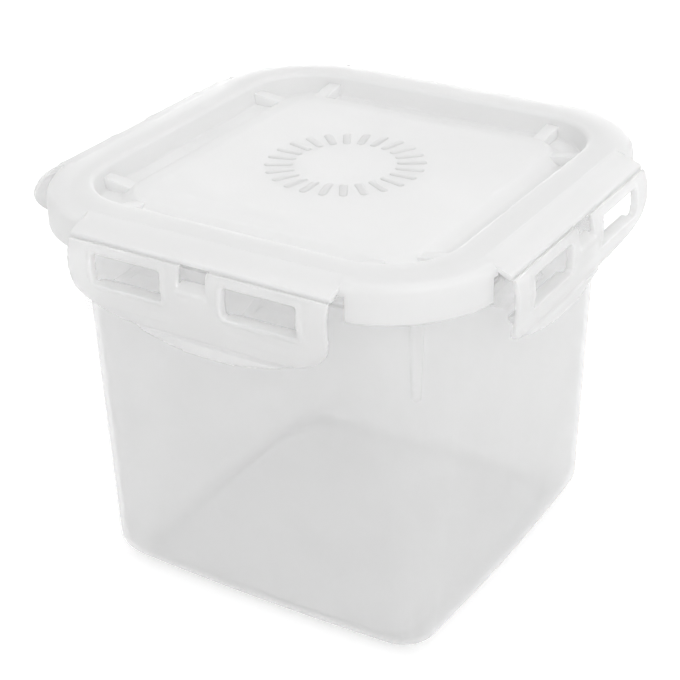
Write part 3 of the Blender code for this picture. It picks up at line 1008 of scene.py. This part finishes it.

# %% [markdown]
# ## Floor, world and lamps
# The photograph shows white all round. The floor and the world turn white only
# for rays from the camera, mirror rays and rays through plastic, so they don't
# add light to the object. The floor keeps part of its own shading, which leaves a
# soft shadow, and under the tub its glow is weaker: a painted shadow where no light
# gets in. The world lights evenly and a little more from above and from the right.
# Three weak lamps add soft highlights, and their low side light finds the lid's edges.

# %% Floor and world
floor_grey = 0.84
# Under the tub the floor's glow drops to its lower value: a painted shadow.
painted_shadow_edge = (0.048, 0.062)
glow_range = (0.26, 0.36)
sky_tilt = (0.25, 0.0, 0.97)
sky_range = (0.58, 0.94)


def white_for_camera(tree):
    """1 for camera, glossy and transmission rays, and 0 for the others."""
    path = tree.nodes.new("ShaderNodeLightPath")
    both = tree.nodes.new("ShaderNodeMath")
    both.operation = "MAXIMUM"
    link(tree, path, "Is Camera Ray", both, 0)
    link(tree, path, "Is Glossy Ray", both, 1)
    every = tree.nodes.new("ShaderNodeMath")
    every.operation = "MAXIMUM"
    link(tree, both, 0, every, 0)
    link(tree, path, "Is Transmission Ray", every, 1)
    return every


def glow_with_painted_shadow(tree):
    """The backdrop's glow on the floor, dimmed under the tub as a painted shadow."""
    coords = tree.nodes.new("ShaderNodeTexCoord")
    size = tree.nodes.new("ShaderNodeVectorMath")
    size.operation = "ABSOLUTE"
    link(tree, coords, "Object", size, 0)
    parts = tree.nodes.new("ShaderNodeSeparateXYZ")
    link(tree, size, 0, parts, 0)
    far = tree.nodes.new("ShaderNodeMath")
    far.operation = "MAXIMUM"
    link(tree, parts, "X", far, 0)
    link(tree, parts, "Y", far, 1)
    span = tree.nodes.new("ShaderNodeMapRange")
    span.inputs["From Min"].default_value = painted_shadow_edge[0]
    span.inputs["From Max"].default_value = painted_shadow_edge[1]
    span.inputs["To Min"].default_value = glow_range[0]
    span.inputs["To Max"].default_value = glow_range[1]
    link(tree, far, 0, span, "Value")
    return span


def make_floor():
    """A wide pale floor that shows white and keeps the object's shadow."""
    bm = bmesh.new()
    bmesh.ops.create_grid(bm, x_segments=4, y_segments=4, size=3.0)
    mesh = bpy.data.meshes.new("floor")
    bm.to_mesh(mesh)
    bm.free()
    floor = add_object("floor", mesh)
    material = bpy.data.materials.new("pale_floor")
    material.use_nodes = True
    tree = material.node_tree
    shader = tree.nodes["Principled BSDF"]
    shader.inputs["Base Color"].default_value = (floor_grey, floor_grey, floor_grey, 1)
    shader.inputs["Roughness"].default_value = 0.8
    shader.inputs["Specular IOR Level"].default_value = 0.0
    shader.inputs["Emission Color"].default_value = (1, 1, 1, 1)
    glow = tree.nodes.new("ShaderNodeMath")
    glow.operation = "MULTIPLY"
    link(tree, glow_with_painted_shadow(tree), "Result", glow, 1)
    link(tree, white_for_camera(tree), 0, glow, 0)
    link(tree, glow, 0, shader, "Emission Strength")
    mesh.materials.append(material)
    return floor


def make_world():
    """Pale light, stronger from above and the right, and white where the camera sees it."""
    world = bpy.data.worlds.new("studio")
    bpy.context.scene.world = world
    world.use_nodes = True
    tree = world.node_tree
    background = tree.nodes["Background"]
    background.inputs["Color"].default_value = (1, 1, 1, 1)
    coords = tree.nodes.new("ShaderNodeTexCoord")
    side = tree.nodes.new("ShaderNodeVectorMath")
    side.operation = "DOT_PRODUCT"
    side.inputs[1].default_value = sky_tilt
    link(tree, coords, "Generated", side, 0)
    sky = tree.nodes.new("ShaderNodeMapRange")
    sky.inputs["From Min"].default_value = -0.25
    sky.inputs["From Max"].default_value = 0.9
    sky.inputs["To Min"].default_value = sky_range[0]
    sky.inputs["To Max"].default_value = sky_range[1]
    link(tree, side, "Value", sky, "Value")
    span = tree.nodes.new("ShaderNodeMapRange")
    span.inputs["To Max"].default_value = 1.0
    link(tree, white_for_camera(tree), 0, span, "Value")
    link(tree, sky, "Result", span, "To Min")
    link(tree, span, "Result", background, "Strength")


def soft_lamp(name, place, width, height, power):
    """A flat lamp that faces the container and doesn't show itself."""
    data = bpy.data.lights.new(name, "AREA")
    data.shape = "RECTANGLE"
    data.size = width
    data.size_y = height
    data.energy = power
    lamp = bpy.data.objects.new(name, data)
    bpy.context.scene.collection.objects.link(lamp)
    lamp.location = place
    lamp.visible_camera = False
    aim = Vector((0, 0, 0.08)) - Vector(place)
    lamp.rotation_euler = aim.to_track_quat("-Z", "Y").to_euler()
    return lamp


make_floor()
make_world()
soft_lamp("key", (1.2, -0.7, 1.2), width=0.8, height=0.8, power=5.2)
soft_lamp("front", (0.80, -1.35, 0.60), width=0.5, height=0.5, power=0.6)
soft_lamp("back", (-0.7, 1.5, 0.20), width=1.2, height=0.25, power=3.0)
bpy.context.scene.view_settings.view_transform = "Standard"
bpy.context.scene.cycles.diffuse_bounces = 12
bpy.context.scene.cycles.transparent_max_bounces = 24
